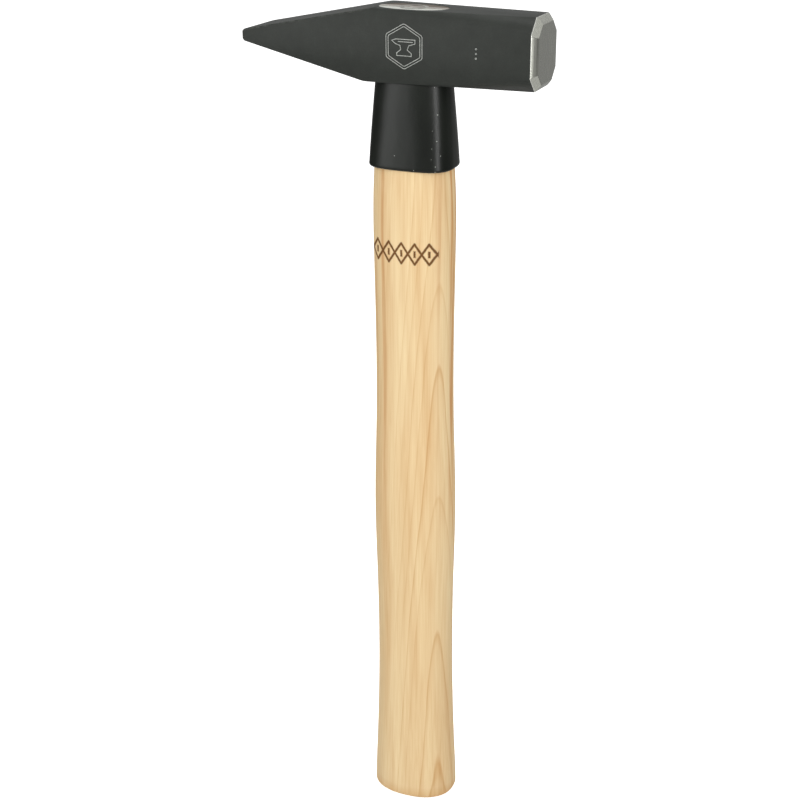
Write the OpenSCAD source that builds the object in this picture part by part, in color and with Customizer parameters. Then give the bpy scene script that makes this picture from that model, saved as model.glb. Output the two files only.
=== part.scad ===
// Cross-peen hammer with a forged steel head, a hickory handle, a moulded neck sleeve
// and two wedges in the eye. Millimetres, +Z up along the handle, origin at the centre
// of the flat butt, +X towards the striking face.

/* [Head] */
// Width of the square end of the head
face_width = 27; // [24:0.1:30]
// Height of the square end of the head
face_height = 26.8; // [24:0.1:30]
// Distance from the handle axis to the flat striking face
face_reach = 52.5; // [46:0.1:60]
// Depth of the ground bevel around the face, along the head
bevel_depth = 2.2; // [1:0.1:4]
// Width of the ground bevel, seen on the face
bevel_inset = 2.6; // [1:0.1:4]
// Size of the corner flats at the face, measured across the head
corner_across = 6; // [3:0.1:7]
// Size of the corner flats at the face, measured up the head
corner_up = 5.6; // [3:0.1:7]
// How far behind the handle axis the corner flats start
corner_start = 13.8; // [6:0.1:14]
// Width of the head at the eye
eye_width = 25.9; // [24:0.1:27]
// Height of the head at the eye
eye_height = 26.7; // [24:0.1:30]

/* [Peen] */
// Distance from the handle axis to the peen edge
peen_reach = 66; // [56:0.1:76]
// Width of the peen edge
peen_width = 24.6; // [20:0.1:25.8]
// Thickness of the peen edge before it is rounded
peen_thickness = 4.7; // [3:0.1:7]
// Radius of the rounding along the peen edge
peen_round = 1; // [0.4:0.1:1.4]
// Height of the middle of the peen edge above the middle of the head
peen_rise = 0.5; // [-1:0.1:1]
// How far behind the handle axis the upper slope starts
upper_slope_start = 14.4; // [14.2:0.1:20]
// How far behind the handle axis the lower slope starts
lower_slope_start = 16.2; // [14.2:0.1:20]

/* [Eye and wedges] */
// Length of the oval eye, along the head
eye_length = 27; // [24:0.2:27.4]
// Width of the oval eye, across the head
eye_across = 16.4; // [14:0.2:17]
// Thickness of the wooden wedge at the top of the eye
wedge_thickness = 3; // [2:0.1:3.6]
// Thickness of the wooden wedge at its lower edge
wedge_tip = 0.8; // [0.6:0.1:1.4]
// Depth of the wooden wedge in the eye
wedge_depth = 20; // [14:0.5:22]
// Outer diameter of the steel ring wedge
ring_diameter = 11; // [9:0.2:12]
// Wall thickness of the steel ring wedge
ring_wall = 1.4; // [1:0.1:2]
// Depth of the steel ring wedge in the wood
ring_depth = 10; // [6:0.5:12]

/* [Handle] */
// Height of the middle of the head above the butt
head_height = 335; // [300:1:380]
// Width of the butt along the head
butt_length = 36.8; // [32:0.2:40]
// Thickness of the handle as a fraction of its width
handle_ratio = 0.745; // [0.68:0.005:0.85]
// Rounding of the butt edge
butt_round = 1.6; // [0.8:0.1:3]

/* [Neck sleeve] */
// Height of the sleeve below the head
sleeve_height = 33.1; // [28:0.1:40]
// Width of the sleeve at its lower edge
sleeve_length = 34; // [33.4:0.1:36]
// Thickness of the sleeve at its lower edge
sleeve_across = 25.6; // [25.2:0.1:27]
// Width of the sleeve where it meets the head
sleeve_top_length = 29.2; // [28.8:0.1:31]
// Thickness of the sleeve where it meets the head
sleeve_top_across = 21; // [18.6:0.1:23]

/* [Hidden] */

// Curve settings
sides = 48;
$fn = 64;
big = 200;
handle_curve = 2.3;
sleeve_curve = 3.2;
eye_curve = 2.3;

// Heights in the part's frame
head_top = head_height + eye_height / 2;
head_underside = head_height - eye_height / 2;
sleeve_foot = head_underside - sleeve_height;
rim_reach = face_reach - bevel_depth;

// Width of the handle at set fractions of the height of the sleeve's foot, relative to
// the butt: a swelled end, a narrow waist, a palm swell and a slimmer shank
grip = [[0, 1], [0.03, 0.992], [0.09, 0.951], [0.16, 0.914], [0.23, 0.892], [0.3, 0.889],
        [0.37, 0.902], [0.43, 0.924], [0.48, 0.935], [0.53, 0.929], [0.58, 0.908],
        [0.63, 0.884], [0.68, 0.871], [0.74, 0.87], [0.8, 0.877], [0.86, 0.89],
        [0.92, 0.898], [0.96, 0.889], [1, 0.86]];

// Point number i of an oval of half sizes a and b; a higher power is squarer
function signed_power(v, p) = sign(v) * pow(abs(v), p);
function oval_point(a, b, power, i) =
    let (t = 360 * (i + 0.5) / sides)
    [a * signed_power(cos(t), 2 / power), b * signed_power(sin(t), 2 / power)];
function oval(a, b, power) = [for (i = [0:sides - 1]) oval_point(a, b, power, i)];
function blend(a, b, t) = a + (b - a) * t;

// Each station is [height, half width, half thickness, power]
function station_ring(s) = [for (p = oval(s[1], s[2], s[3])) [p[0], p[1], s[0]]];

// Closed skin through a list of stations, lowest first
module loft(stations) {
    rings = len(stations);
    points = [for (s = stations) each station_ring(s)];
    walls = [for (r = [0:rings - 2], i = [0:sides - 1])
        [r * sides + i, (r + 1) * sides + i,
         (r + 1) * sides + (i + 1) % sides, r * sides + (i + 1) % sides]];
    foot = [[for (i = [0:sides - 1]) i]];
    top = [[for (i = [0:sides - 1]) rings * sides - 1 - i]];
    polyhedron(points, concat(walls, foot, top), convexity = 4);
}

// Everything on the far side of the plane through p with outward normal n
module beyond(p, n) {
    translate(p)
        rotate([0, acos(n[2] / norm(n)), atan2(n[1], n[0])])
            translate([-big, -big, 0])
                cube([2 * big, 2 * big, big]);
}

// Long tapering flat on one corner of the head; y and z are the corner's signs
module corner_flat(y, z) {
    start = [-corner_start, y * corner_line(-corner_start)[0], z * corner_line(-corner_start)[1]];
    across = [rim_reach, y * (face_width / 2 - corner_across), z * face_height / 2];
    up = [rim_reach, y * face_width / 2, z * (face_height / 2 - corner_up)];
    n = cross(across - start, up - start);
    beyond(start, n * (n[1] * y > 0 ? 1 : -1));
}

// Half width and half height of the head at a distance x along it
function corner_line(x) =
    let (t = (x + upper_slope_start) / (rim_reach + upper_slope_start))
    [blend(eye_width / 2, face_width / 2, t), blend(eye_height / 2, face_height / 2, t)];

// Ground bevel across one corner of the face
module corner_bevel(y, z) {
    across = [rim_reach, y * (face_width / 2 - corner_across), z * face_height / 2];
    up = [rim_reach, y * face_width / 2, z * (face_height / 2 - corner_up)];
    edge = up - across;
    inward = [0, -y * corner_up, -z * corner_across] / norm([corner_up, corner_across]);
    slope = inward * bevel_inset + [bevel_depth, 0, 0];
    n = cross(edge, slope);
    beyond(across, n * (n[0] > 0 ? 1 : -1));
}

// Outline of the head seen from the side
module side_outline() {
    peen_low = peen_rise - peen_thickness / 2;
    peen_high = peen_rise + peen_thickness / 2;
    polygon([[-peen_reach, peen_low + peen_round], [-peen_reach, peen_high - peen_round],
             [-peen_reach + peen_round, peen_high], [-upper_slope_start, eye_height / 2],
             [rim_reach, face_height / 2], [face_reach, face_height / 2 - bevel_inset],
             [face_reach, -face_height / 2 + bevel_inset], [rim_reach, -face_height / 2],
             [-lower_slope_start, -eye_height / 2], [-peen_reach + peen_round, peen_low]]);
}

// Outline of the head seen from above
module top_outline() {
    polygon([[-peen_reach, -peen_width / 2], [-upper_slope_start, -eye_width / 2],
             [rim_reach, -face_width / 2], [face_reach, -face_width / 2 + bevel_inset],
             [face_reach, face_width / 2 - bevel_inset], [rim_reach, face_width / 2],
             [-upper_slope_start, eye_width / 2], [-peen_reach, peen_width / 2]]);
}

// Straight oval prism that fills the eye, from the underside to the top of the head
module eye_prism() {
    translate([0, 0, head_underside])
        linear_extrude(height = eye_height)
            polygon(oval(eye_length / 2, eye_across / 2, eye_curve));
}

// Slot for the wooden wedge, narrowing downwards
module wedge_slot() {
    intersection() {
        eye_prism();
        translate([-eye_length, 0, head_top])
            rotate([90, 0, 90])
                linear_extrude(height = 2 * eye_length)
                    polygon([[-wedge_thickness / 2, 0], [-wedge_tip / 2, -wedge_depth],
                             [wedge_tip / 2, -wedge_depth], [wedge_thickness / 2, 0]]);
    }
}

// Steel ring wedge, and the room it takes in the wood
module ring_shape() {
    translate([0, 0, head_top - ring_depth])
        difference() {
            cylinder(h = ring_depth, d = ring_diameter);
            translate([0, 0, -1])
                cylinder(h = ring_depth + 2, d = ring_diameter - 2 * ring_wall);
        }
}

// Neck of the handle inside the sleeve, from the sleeve's foot to the head
function neck(t) =
    [blend(sleeve_foot, head_underside, t),
     blend(butt_length / 2 * 0.86, eye_length / 2, t),
     blend(butt_length / 2 * 0.86 * handle_ratio, eye_across / 2, t), handle_curve];

module head() {
    color("dimgray")
        difference() {
            translate([0, 0, head_height])
                difference() {
                    intersection() {
                        rotate([90, 0, 0])
                            linear_extrude(height = 2 * face_width, center = true)
                                side_outline();
                        linear_extrude(height = 2 * face_height, center = true)
                            top_outline();
                    }
                    for (y = [-1, 1], z = [-1, 1]) {
                        corner_flat(y, z);
                        corner_bevel(y, z);
                    }
                }
            eye_prism();
        }
}

module handle() {
    a = butt_length / 2;
    butt = [for (d = [0, 15, 30, 45, 60, 75])
        [butt_round * (1 - cos(d)), a - butt_round * (1 - sin(d)),
         a * handle_ratio - butt_round * (1 - sin(d)), handle_curve]];
    body = [for (g = grip) if (g[0] * sleeve_foot >= butt_round)
        [g[0] * sleeve_foot, a * g[1], a * g[1] * handle_ratio, handle_curve]];
    inside = [for (t = [0.25:0.25:1]) neck(t)];
    color("burlywood")
        difference() {
            union() {
                loft(concat(butt, body, inside));
                eye_prism();
            }
            wedge_slot();
            ring_shape();
        }
}

module neck_sleeve() {
    lip = 1.2;
    foot = [for (d = [0, 30, 60, 90])
        [sleeve_foot + lip * (1 - cos(d)), sleeve_length / 2 - lip * (1 - sin(d)) * 0.6,
         sleeve_across / 2 - lip * (1 - sin(d)) * 0.6, sleeve_curve]];
    wall = [for (t = [0.25:0.25:1])
        [blend(sleeve_foot, head_underside, t), blend(sleeve_length, sleeve_top_length, t) / 2,
         blend(sleeve_across, sleeve_top_across, t) / 2, sleeve_curve]];
    color([0.06, 0.06, 0.06])
        difference() {
            loft(concat(foot, wall));
            loft([for (t = [0:0.25:1]) neck(t)]);
        }
}

module wooden_wedge() {
    color("tan")
        difference() {
            wedge_slot();
            ring_shape();
        }
}

module ring_wedge() {
    color("silver")
        ring_shape();
}

head();
handle();
neck_sleeve();
wooden_wedge();
ring_wedge();
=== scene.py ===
"""Cross-peen hammer: forged head, hickory handle, moulded neck sleeve and two wedges."""

import math

import bmesh
import bpy
from bpy.props import FloatProperty, FloatVectorProperty, IntProperty, PointerProperty
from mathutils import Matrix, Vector


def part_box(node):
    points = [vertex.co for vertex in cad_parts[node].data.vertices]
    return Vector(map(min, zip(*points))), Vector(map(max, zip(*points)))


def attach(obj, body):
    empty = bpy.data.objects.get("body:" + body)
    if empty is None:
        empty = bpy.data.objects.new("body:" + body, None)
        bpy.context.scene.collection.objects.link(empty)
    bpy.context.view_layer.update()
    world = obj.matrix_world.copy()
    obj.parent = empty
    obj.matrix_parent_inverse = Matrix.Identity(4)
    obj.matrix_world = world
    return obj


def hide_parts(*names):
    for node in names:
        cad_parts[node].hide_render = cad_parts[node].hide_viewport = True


bl_info = {
    "name": "Cross-peen hammer",
    "version": (1, 0, 0),
    "blender": (4, 5, 0),
    "location": "View3D > Sidebar > Hammer",
    "description": "Builds a cross-peen hammer on its packed frame",
    "category": "Add Mesh",
}

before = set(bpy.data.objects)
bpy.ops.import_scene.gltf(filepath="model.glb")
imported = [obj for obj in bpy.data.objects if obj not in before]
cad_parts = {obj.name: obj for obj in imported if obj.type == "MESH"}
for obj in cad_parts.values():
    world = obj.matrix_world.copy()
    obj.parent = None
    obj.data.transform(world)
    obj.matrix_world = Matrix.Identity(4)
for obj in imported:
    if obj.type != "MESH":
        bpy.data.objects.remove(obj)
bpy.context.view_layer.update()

MM = 0.001
HEAD_LOW, HEAD_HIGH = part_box("head")
SLEEVE_LOW, SLEEVE_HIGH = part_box("neck_sleeve")
RING_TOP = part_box("ring_wedge")[1].z

PEEN_X, FACE_X = HEAD_LOW.x, HEAD_HIGH.x
HEAD_MID = (HEAD_LOW.z + HEAD_HIGH.z) / 2
SLEEVE_FOOT = SLEEVE_LOW.z

# Where the head changes shape along its length, from the handle axis
RIM_X = FACE_X - 2.2 * MM
UPPER_RIDGE_X = -14.4 * MM
LOWER_RIDGE_X = -16.2 * MM
CORNER_FLAT_X = -10.4 * MM

# The cheeks are flat and widen from the peen's end to the rim of the face
PEEN_HALF = 12.3 * MM
RIM_HALF = HEAD_HIGH.y


# ---------------------------------------------------------------- colours and nodes

def linear(hex_colour):
    """sRGB hex such as "c8a878" to a linear red, green, blue and alpha."""
    values = [int(hex_colour[i:i + 2], 16) / 255 for i in (0, 2, 4)]
    return tuple(v / 12.92 if v <= 0.04045 else ((v + 0.055) / 1.055) ** 2.4 for v in values) + (1.0,)


def add(material, kind, links=None, **settings):
    """One node with its settings and links.

    A link goes from a socket's name or number to an output, or to a node for its first output.
    A setting named i1, i2 and so on is the value of the input with that number.
    """
    tree = material.node_tree
    made = tree.nodes.new(kind)
    for key, value in settings.items():
        numbered = key[0] == "i" and key[1:].isdigit()
        if hasattr(made, key) and key not in made.inputs:
            setattr(made, key, value)
        else:
            made.inputs[int(key[1:]) if numbered else key].default_value = value
    for key, source in (links or {}).items():
        output = source.outputs[0] if isinstance(source, bpy.types.Node) else source
        tree.links.new(output, made.inputs[key])
    return made


def ramp_stops(node, stops):
    """Sets a colour ramp's stops from (position, colour) pairs."""
    elements = node.color_ramp.elements
    while len(elements) < len(stops):
        elements.new(0.5)
    for element, (position, colour) in zip(elements, stops):
        element.position = position
        element.color = colour


def grey(v):
    """An opaque grey of linear value v."""
    return (v, v, v, 1.0)


def tinted(colour, amount):
    """A colour made lighter or darker by a factor, opaque."""
    return (*(Vector(colour[:3]) * amount), 1.0)


def new_material(name):
    """A node material with no nodes in it yet."""
    material = bpy.data.materials.new(name)
    material.use_nodes = True
    material.node_tree.nodes.clear()
    return material


def finish_material(material, shader):
    """Links the shader to the material's surface and hands the material back."""
    add(material, "ShaderNodeOutputMaterial", {"Surface": shader})
    return material


# ---------------------------------------------------------------- sizes and colours

def length_setting(name, description, default):
    """A length that the user can set."""
    return FloatProperty(name=name, description=description, default=default, min=0.0, unit="LENGTH")


def colour_setting(name, description, hex_colour):
    """A colour that the user can set."""
    return FloatVectorProperty(name=name, description=description, default=linear(hex_colour),
                               subtype="COLOR", size=4, min=0.0, max=1.0)


class HammerSizes(bpy.types.PropertyGroup):
    """Sizes that shape the looks of the pieces."""
    forged_edge: length_setting("Forged edge", "Rounding of the long edges of the head", 0.55 * MM)
    ground_edge: length_setting("Ground edge", "Rounding of the edges ground round the face", 0.2 * MM)
    ridge_edge: length_setting("Peen shoulder", "Rounding where the peen slopes start", 1.6 * MM)
    butt_round: length_setting("Butt rounding", "Rounding of the edge of the butt", 1.6 * MM)
    handle_sides: IntProperty(
        name="Handle sides", description="Points around the handle and its sleeve", default=112,
        min=24)
    sleeve_lip: length_setting("Sleeve lip", "Rounding of the lower edge of the sleeve", 1.1 * MM)
    mark_line: length_setting("Mark line", "Width of the lines of the mark on the cheek", 0.24 * MM)
    ornament_line: length_setting("Burnt line", "Width of the burnt lines on the handle", 0.95 * MM)


class HammerColours(bpy.types.PropertyGroup):
    """Colours of the pieces and of the stage."""
    lacquer: colour_setting("Lacquer", "Lacquer on the forged head", "282b27")
    bare_steel: colour_setting("Bare steel", "Ground steel", "b2b3aa")
    pale_wood: colour_setting("Pale wood", "Early wood of the handle", "e8d0a3")
    dark_wood: colour_setting("Dark wood", "Late wood lines of the handle", "cca16d")
    burnt_wood: colour_setting("Burnt wood", "Lines branded into the handle", "6d4826")
    plastic: colour_setting("Plastic", "Moulded neck sleeve", "161915")
    floor: colour_setting("Floor", "Floor and wall of the stage", "fbfbfa")


# ---------------------------------------------------------------- materials

def lacquered_forged_steel(colours):
    """Forged steel, sprayed with lacquer and ground bare at the face: dull and dark, then bright."""
    m = new_material("lacquered_forged_steel")
    place = add(m, "ShaderNodeTexCoord").outputs["Object"]
    where = add(m, "ShaderNodeSeparateXYZ", {"Vector": place})

    # Forging scale under the lacquer, about 6 mm across: slow drift of the grey
    drift = add(m, "ShaderNodeTexNoise", {"Vector": place}, Scale=160.0, Detail=3.0, Roughness=0.6)
    # Lacquer speckle is near 0.1 mm in life; drawn 0.5 mm across so that it shows
    speckle = add(m, "ShaderNodeTexNoise", {"Vector": place}, Scale=2000.0, Detail=2.0, Roughness=0.7)
    tone = add(m, "ShaderNodeMath", {0: drift.outputs["Fac"], 1: speckle.outputs["Fac"]},
               operation="MULTIPLY")
    shade = add(m, "ShaderNodeValToRGB", {"Fac": tone})
    ramp_stops(shade, [(0.10, tinted(colours.lacquer, 0.82)), (0.26, tinted(colours.lacquer, 1.0)),
                       (0.45, tinted(colours.lacquer, 1.22))])

    # Lighter grey along the edges, partly rubbed lacquer from handling and partly a painted edge
    # highlight: the rounded edge against the flat
    rounded = add(m, "ShaderNodeBevel", samples=4, Radius=0.9 * MM)
    flat = add(m, "ShaderNodeNewGeometry")
    same = add(m, "ShaderNodeVectorMath", {0: rounded, 1: flat.outputs["Normal"]},
               operation="DOT_PRODUCT")
    edge = add(m, "ShaderNodeMapRange", {"Value": same.outputs["Value"]},
               **{"From Min": 0.995, "From Max": 0.90, "To Max": 0.30})
    patchy = add(m, "ShaderNodeTexNoise", {"Vector": place}, Scale=420.0, Detail=4.0)
    patch = add(m, "ShaderNodeMapRange", {"Value": patchy.outputs["Fac"]},
                **{"From Min": 0.42, "From Max": 0.62, "To Min": 0.15})
    worn_and_highlit_edges = add(m, "ShaderNodeMath", {0: edge, 1: patch}, operation="MULTIPLY")
    rubbed = add(m, "ShaderNodeMix", {"Factor": worn_and_highlit_edges, 6: shade}, data_type="RGBA",
                 i7=linear("8a8c86"))

    hills = add(m, "ShaderNodeBump", {"Height": drift.outputs["Fac"], "Normal": rounded},
                Strength=0.12, Distance=0.5 * MM)
    grain = add(m, "ShaderNodeBump", {"Height": speckle.outputs["Fac"], "Normal": hills},
                Strength=0.10, Distance=0.08 * MM)
    dull = add(m, "ShaderNodeMapRange", {"Value": speckle.outputs["Fac"]},
               **{"To Min": 0.46, "To Max": 0.62})
    coat = add(m, "ShaderNodeBsdfPrincipled",
               {"Base Color": rubbed.outputs[2], "Roughness": dull, "Normal": grain})
    coat.inputs["IOR"].default_value = 1.5
    coat.inputs["Specular IOR Level"].default_value = 0.27

    # The grinding wheel ran up and down the face: lines 0.3 mm apart, drawn 0.7 mm
    strokes_at = add(m, "ShaderNodeMapping", {"Vector": place}, Scale=(1500.0, 1500.0, 30.0))
    strokes = add(m, "ShaderNodeTexNoise", {"Vector": strokes_at}, Scale=1.0, Detail=3.0)
    scored = add(m, "ShaderNodeBump", {"Height": strokes.outputs["Fac"]}, Strength=0.22,
                 Distance=0.05 * MM)
    polish = add(m, "ShaderNodeMapRange", {"Value": strokes.outputs["Fac"]},
                 **{"From Min": 0.3, "From Max": 0.7, "To Min": 0.22, "To Max": 0.36})
    steel_tone = add(m, "ShaderNodeValToRGB", {"Fac": strokes.outputs["Fac"]})
    ramp_stops(steel_tone, [(0.30, tinted(colours.bare_steel, 0.86)),
                            (0.70, tinted(colours.bare_steel, 1.08))])
    # A thin bright line, 0.1 mm wide, where the grinding breaks through the lacquer: a painted
    # highlight on the rim, drawn as pale matt steel
    burr_and_rim_highlight = add(m, "ShaderNodeMapRange", {"Value": where.outputs["X"]},
               **{"From Min": RIM_X + 0.09 * MM, "From Max": RIM_X + 0.02 * MM})
    glint = add(m, "ShaderNodeMix", {"Factor": burr_and_rim_highlight, 6: steel_tone}, data_type="RGBA",
                i7=linear("eeeee8"))
    solid = add(m, "ShaderNodeMapRange", {"Value": burr_and_rim_highlight}, **{"To Min": 0.8, "To Max": 0.2})
    steel = add(m, "ShaderNodeBsdfPrincipled",
                {"Base Color": glint.outputs[2], "Roughness": polish,
                 "Metallic": solid, "Normal": scored})
    ground = add(m, "ShaderNodeMapRange", {"Value": where.outputs["X"]},
                 **{"From Min": RIM_X - 0.10 * MM, "From Max": RIM_X + 0.02 * MM})
    both = add(m, "ShaderNodeMixShader", {0: ground, 1: coat, 2: steel})
    return finish_material(m, both)


def lacquered_hickory(colours, sizes):
    """Hickory, turned, sanded and clear lacquered: pale, with pores and arched growth lines."""
    m = new_material("lacquered_hickory")
    place = add(m, "ShaderNodeTexCoord").outputs["Object"]
    where = add(m, "ShaderNodeSeparateXYZ", {"Vector": place})

    # The log's heart runs inside the handle, towards the face and the near cheek, so the growth
    # cones, 2.6 mm apart, leave arches there and straight lines elsewhere
    wander_at = add(m, "ShaderNodeMapping", {"Vector": place}, Scale=(60.0, 60.0, 14.0))
    wander = add(m, "ShaderNodeTexNoise", {"Vector": wander_at}, Scale=1.0, Detail=2.0)
    heart_at = add(m, "ShaderNodeVectorMath", {0: place}, operation="SUBTRACT",
                   i1=(10.8 * MM, -5.2 * MM, 0.0))
    heart_flat = add(m, "ShaderNodeVectorMath", {0: heart_at}, operation="MULTIPLY",
                     i1=(1.0, 1.0, 0.0))
    reach = add(m, "ShaderNodeVectorMath", {0: heart_flat}, operation="LENGTH")
    lean = add(m, "ShaderNodeMath", {0: where.outputs["Z"], 2: reach.outputs["Value"]},
               operation="MULTIPLY_ADD", i1=0.065)
    bend = add(m, "ShaderNodeMath", {0: wander.outputs["Fac"], 2: lean},
               operation="MULTIPLY_ADD", i1=2.2 * MM)
    ring = add(m, "ShaderNodeMath", {0: bend}, operation="DIVIDE", i1=2.6 * MM)
    saw = add(m, "ShaderNodeMath", {0: ring}, operation="FRACT")
    late = add(m, "ShaderNodeValToRGB", {"Fac": saw})
    ramp_stops(late, [(0.0, grey(0.0)), (0.55, grey(0.0)), (0.84, grey(0.3)), (0.94, grey(1.0)),
                      (1.0, grey(0.0))])

    # Some growth lines are strong and most are faint
    which = add(m, "ShaderNodeMath", {0: ring}, operation="FLOOR")
    strong = add(m, "ShaderNodeTexWhiteNoise", {"W": which}, noise_dimensions="1D")
    depth = add(m, "ShaderNodeMapRange", {"Value": strong.outputs["Value"]},
                **{"From Min": 0.25, "To Max": 0.85})
    crisp = add(m, "ShaderNodeMath", {0: late.outputs["Color"], 1: depth}, operation="MULTIPLY")
    # The lines blur into the fibre away from the heart
    blur = add(m, "ShaderNodeMapRange", {"Value": reach.outputs["Value"]},
               **{"From Min": 9 * MM, "From Max": 19 * MM, "To Min": 1.0, "To Max": 0.35})
    lines = add(m, "ShaderNodeMath", {0: crisp, 1: blur}, operation="MULTIPLY")

    # Long vessels: 0.3 mm wide and 20 mm long in life, drawn 0.7 mm wide and 38 mm long
    fibre_at = add(m, "ShaderNodeMapping", {"Vector": place}, Scale=(1500.0, 1500.0, 26.0))
    fibre = add(m, "ShaderNodeTexNoise", {"Vector": fibre_at}, Scale=1.0, Detail=4.0, Roughness=0.62)
    fleck = add(m, "ShaderNodeMapRange", {"Value": fibre.outputs["Fac"]},
                **{"From Min": 0.35, "From Max": 0.75})
    # Broad streaks, about 6 mm wide and 90 mm long
    streak_at = add(m, "ShaderNodeMapping", {"Vector": place}, Scale=(170.0, 170.0, 11.0))
    streak = add(m, "ShaderNodeTexNoise", {"Vector": streak_at}, Scale=1.0, Detail=3.0)
    band = add(m, "ShaderNodeMapRange", {"Value": streak.outputs["Fac"]},
               **{"From Min": 0.35, "From Max": 0.70})

    lined = add(m, "ShaderNodeMath", {0: lines}, operation="MULTIPLY", i1=0.82)
    flecked = add(m, "ShaderNodeMath", {0: fleck, 2: lined}, operation="MULTIPLY_ADD", i1=0.34)
    grain = add(m, "ShaderNodeMath", {0: band, 2: flecked},
                operation="MULTIPLY_ADD", i1=0.42, use_clamp=True)
    # Darker over the last 6 mm towards the end of the butt
    darker_at_butt = add(m, "ShaderNodeMapRange", {"Value": where.outputs["Z"]},
                 **{"From Min": 6.0 * MM, "From Max": 0.0, "To Max": 0.52})
    darkness = add(m, "ShaderNodeMath", {0: grain, 1: darker_at_butt}, operation="ADD", use_clamp=True)
    wood = add(m, "ShaderNodeMix", {"Factor": darkness}, data_type="RGBA", i6=colours.pale_wood,
               i7=colours.dark_wood)

    # Painted shade down both narrow sides, in the upper half: darker and redder, broken into narrow
    # streaks like heartwood
    thread_at = add(m, "ShaderNodeMapping", {"Vector": place}, Scale=(360.0, 360.0, 9.0))
    thread = add(m, "ShaderNodeTexNoise", {"Vector": thread_at}, Scale=1.0, Detail=2.0)
    side = add(m, "ShaderNodeMath", {0: where.outputs["X"]}, operation="ABSOLUTE")
    outer = add(m, "ShaderNodeMapRange", {"Value": side},
                **{"From Min": 12.4 * MM, "From Max": 15.0 * MM})
    upper = add(m, "ShaderNodeMapRange", {"Value": where.outputs["Z"]},
                **{"From Min": 120 * MM, "From Max": 190 * MM})
    broken = add(m, "ShaderNodeMapRange", {"Value": thread.outputs["Fac"]},
                 **{"From Min": 0.46, "From Max": 0.56, "To Max": 0.85})
    painted_side_shade = add(m, "ShaderNodeMath", {0: outer, 1: upper}, operation="MULTIPLY")
    edges = add(m, "ShaderNodeMath", {0: painted_side_shade, 1: broken}, operation="MULTIPLY")
    # One longer streak, about 1.5 mm wide, wanders down the peen side of the handle
    sway = add(m, "ShaderNodeMath", {0: wander.outputs["Fac"], 2: where.outputs["X"]},
               operation="MULTIPLY_ADD", i1=3.0 * MM)
    from_line = add(m, "ShaderNodeMath", {0: sway}, operation="ADD", i1=7.6 * MM)
    apart = add(m, "ShaderNodeMath", {0: from_line}, operation="ABSOLUTE")
    long_streak = add(m, "ShaderNodeMapRange", {"Value": apart},
                      **{"From Min": 1.1 * MM, "From Max": 0.3 * MM, "To Max": 0.75})
    ending = add(m, "ShaderNodeMath", {0: long_streak, 1: upper}, operation="MULTIPLY")
    speckled = add(m, "ShaderNodeMapRange", {"Value": fibre.outputs["Fac"]},
                   **{"From Min": 0.30, "From Max": 0.60, "To Min": 0.4})
    textured = add(m, "ShaderNodeMath", {0: ending, 1: speckled}, operation="MULTIPLY")
    # Redder where the painted side shade or the real heartwood streak lies
    heartwood_and_side_shade = add(m, "ShaderNodeMath", {0: edges, 1: textured}, operation="MAXIMUM")
    streaked_and_shaded_wood = add(m, "ShaderNodeMix", {"Factor": heartwood_and_side_shade, 6: wood.outputs[2]}, data_type="RGBA",
                    i7=linear("c38d58"))

    # The end in the eye is drawn grey-white, a painted sheen, and brown towards the far side, a painted
    # shadow cast by the eye's far wall
    end = add(m, "ShaderNodeMapRange", {"Value": where.outputs["Z"]},
              **{"From Min": HEAD_HIGH.z - 0.7 * MM, "From Max": HEAD_HIGH.z - 0.4 * MM})
    far = add(m, "ShaderNodeMath", {0: fibre.outputs["Fac"], 2: where.outputs["Y"]},
              operation="MULTIPLY_ADD", i1=5.0 * MM)
    far_wall_shadow = add(m, "ShaderNodeMapRange", {"Value": far},
                  **{"From Min": -3.0 * MM, "From Max": 6.5 * MM})
    end_sheen_and_shadow = add(m, "ShaderNodeValToRGB", {"Fac": far_wall_shadow})
    ramp_stops(end_sheen_and_shadow, [(0.0, linear("c6c8c1")), (0.5, linear("b4b5ae")), (0.74, linear("5f554a"))])
    with_end_sheen_and_shadow = add(m, "ShaderNodeMix", {"Factor": end, 6: streaked_and_shaded_wood.outputs[2], 7: end_sheen_and_shadow},
                 data_type="RGBA")

    # Branded ornament: a chain of open diamonds with a tick in each, on the near side
    burnt = ornament_mask(m, where, place, sizes)
    marked = add(m, "ShaderNodeMix", {"Factor": burnt, 6: with_end_sheen_and_shadow.outputs[2]}, data_type="RGBA",
                 i7=colours.burnt_wood)

    relief = add(m, "ShaderNodeMath", {0: burnt, 2: grain}, operation="MULTIPLY_ADD", i1=1.5)
    pores = add(m, "ShaderNodeBump", {"Height": relief}, Strength=0.18, Distance=0.10 * MM,
                invert=True)
    sheen = add(m, "ShaderNodeMapRange", {"Value": fibre.outputs["Fac"]},
                **{"To Min": 0.40, "To Max": 0.58})
    shader = add(m, "ShaderNodeBsdfPrincipled",
                 {"Base Color": marked.outputs[2], "Roughness": sheen, "Normal": pores})
    shader.inputs["IOR"].default_value = 1.45
    shader.inputs["Specular IOR Level"].default_value = 0.22
    return finish_material(m, shader)


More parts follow.
